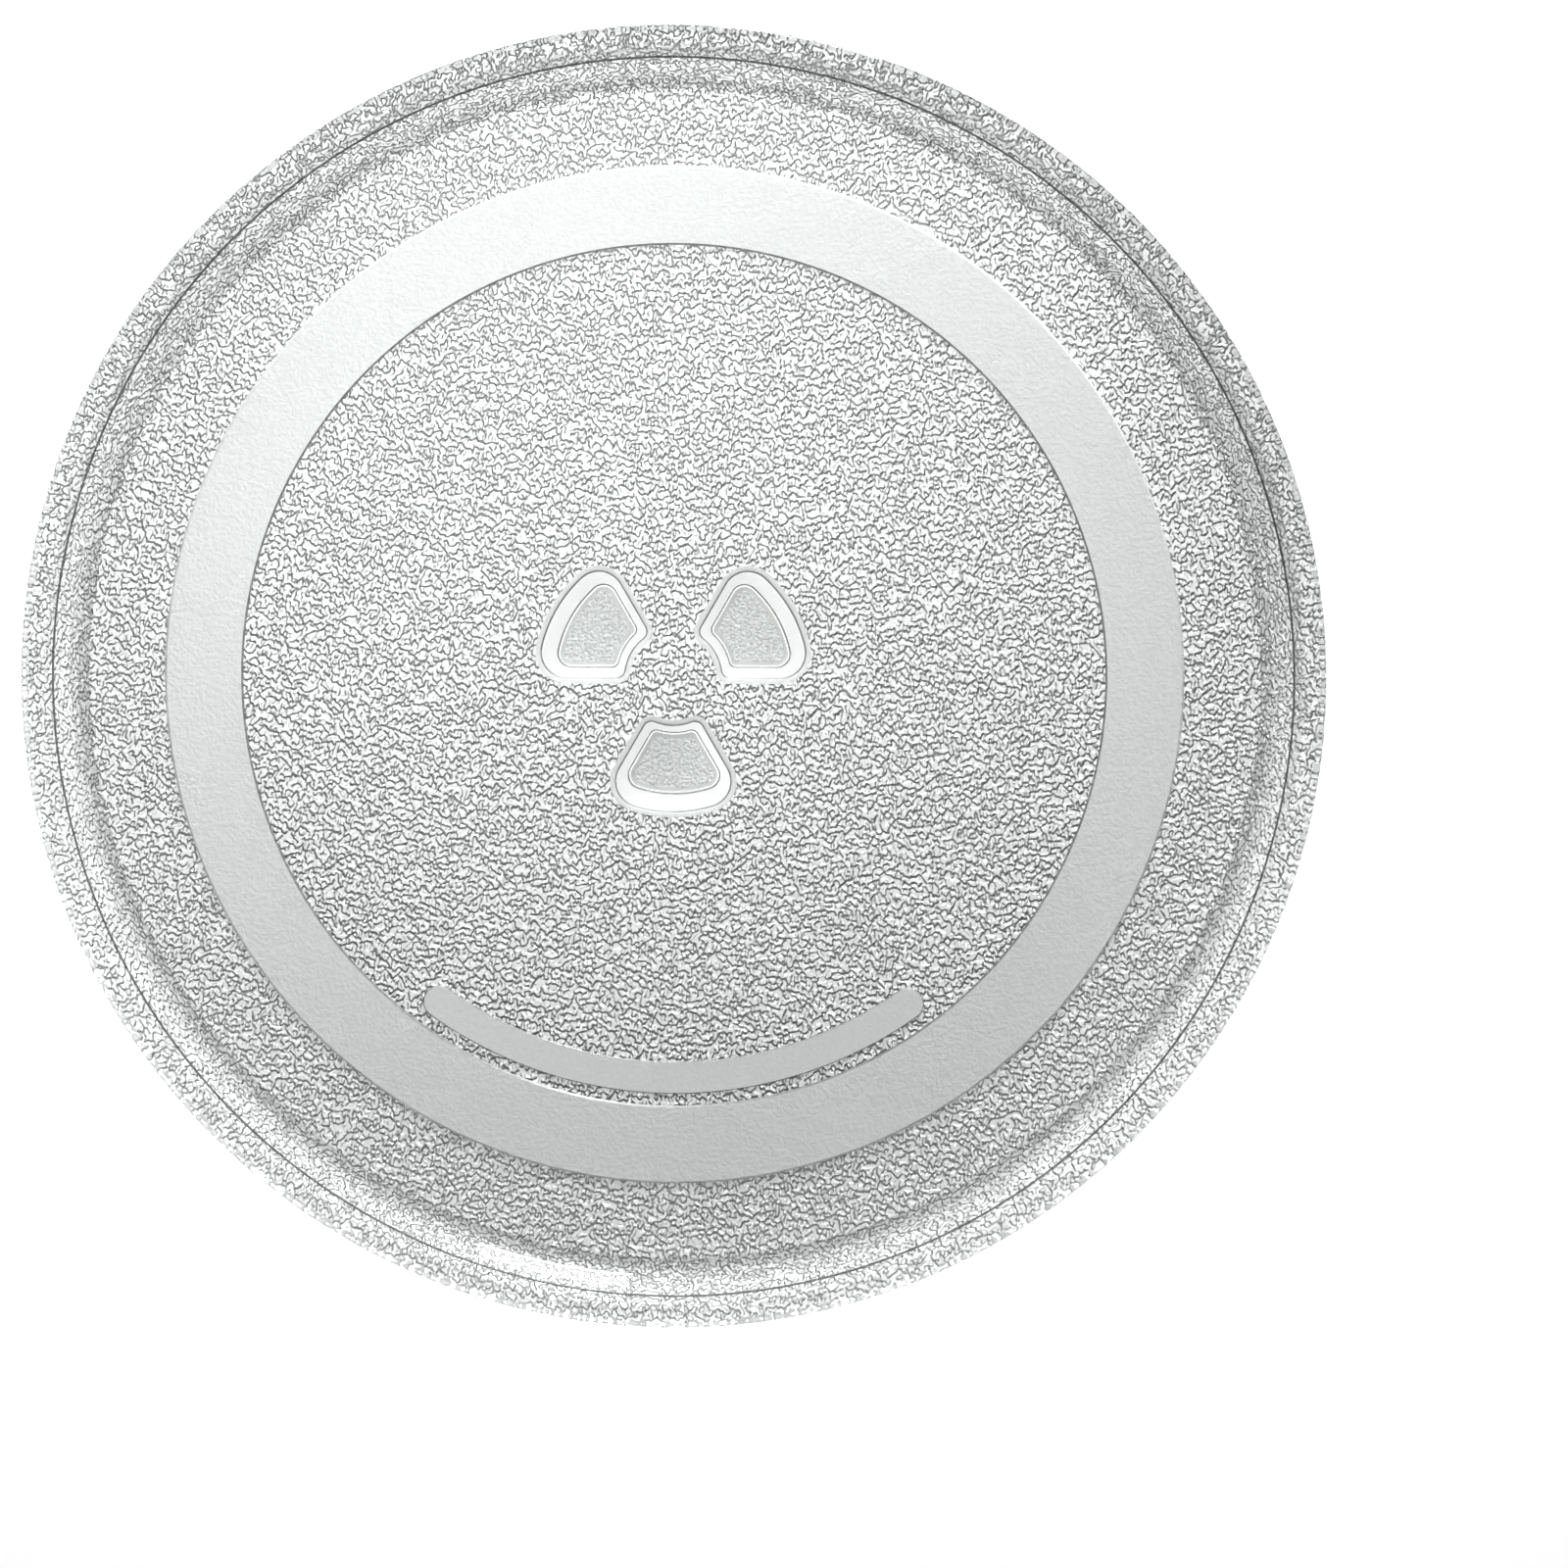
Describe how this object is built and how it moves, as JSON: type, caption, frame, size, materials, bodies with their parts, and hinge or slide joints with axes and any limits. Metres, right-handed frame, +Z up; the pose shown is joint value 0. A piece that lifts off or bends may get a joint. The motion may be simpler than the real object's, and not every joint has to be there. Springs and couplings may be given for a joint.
{
  "type": "microwave turntable tray",
  "caption": "Round pressed-glass turntable tray with a raised rim and lip, a smooth roller track and drafted drive lugs under its base.",
  "frame": {"origin": "on the drive axis, in the plane of the feet of the lugs, where the tray stands on a table", "axes": "+Z up out of the dish; -Y to the middle of the curved field and of one lug"},
  "size_m": [0.245, 0.245, 0.0169],
  "materials": {
    "clear_glass": "gloss"
  },
  "bodies": {
    "root": {"glass_tray": "clear_glass"}
  },
  "joints": []
}
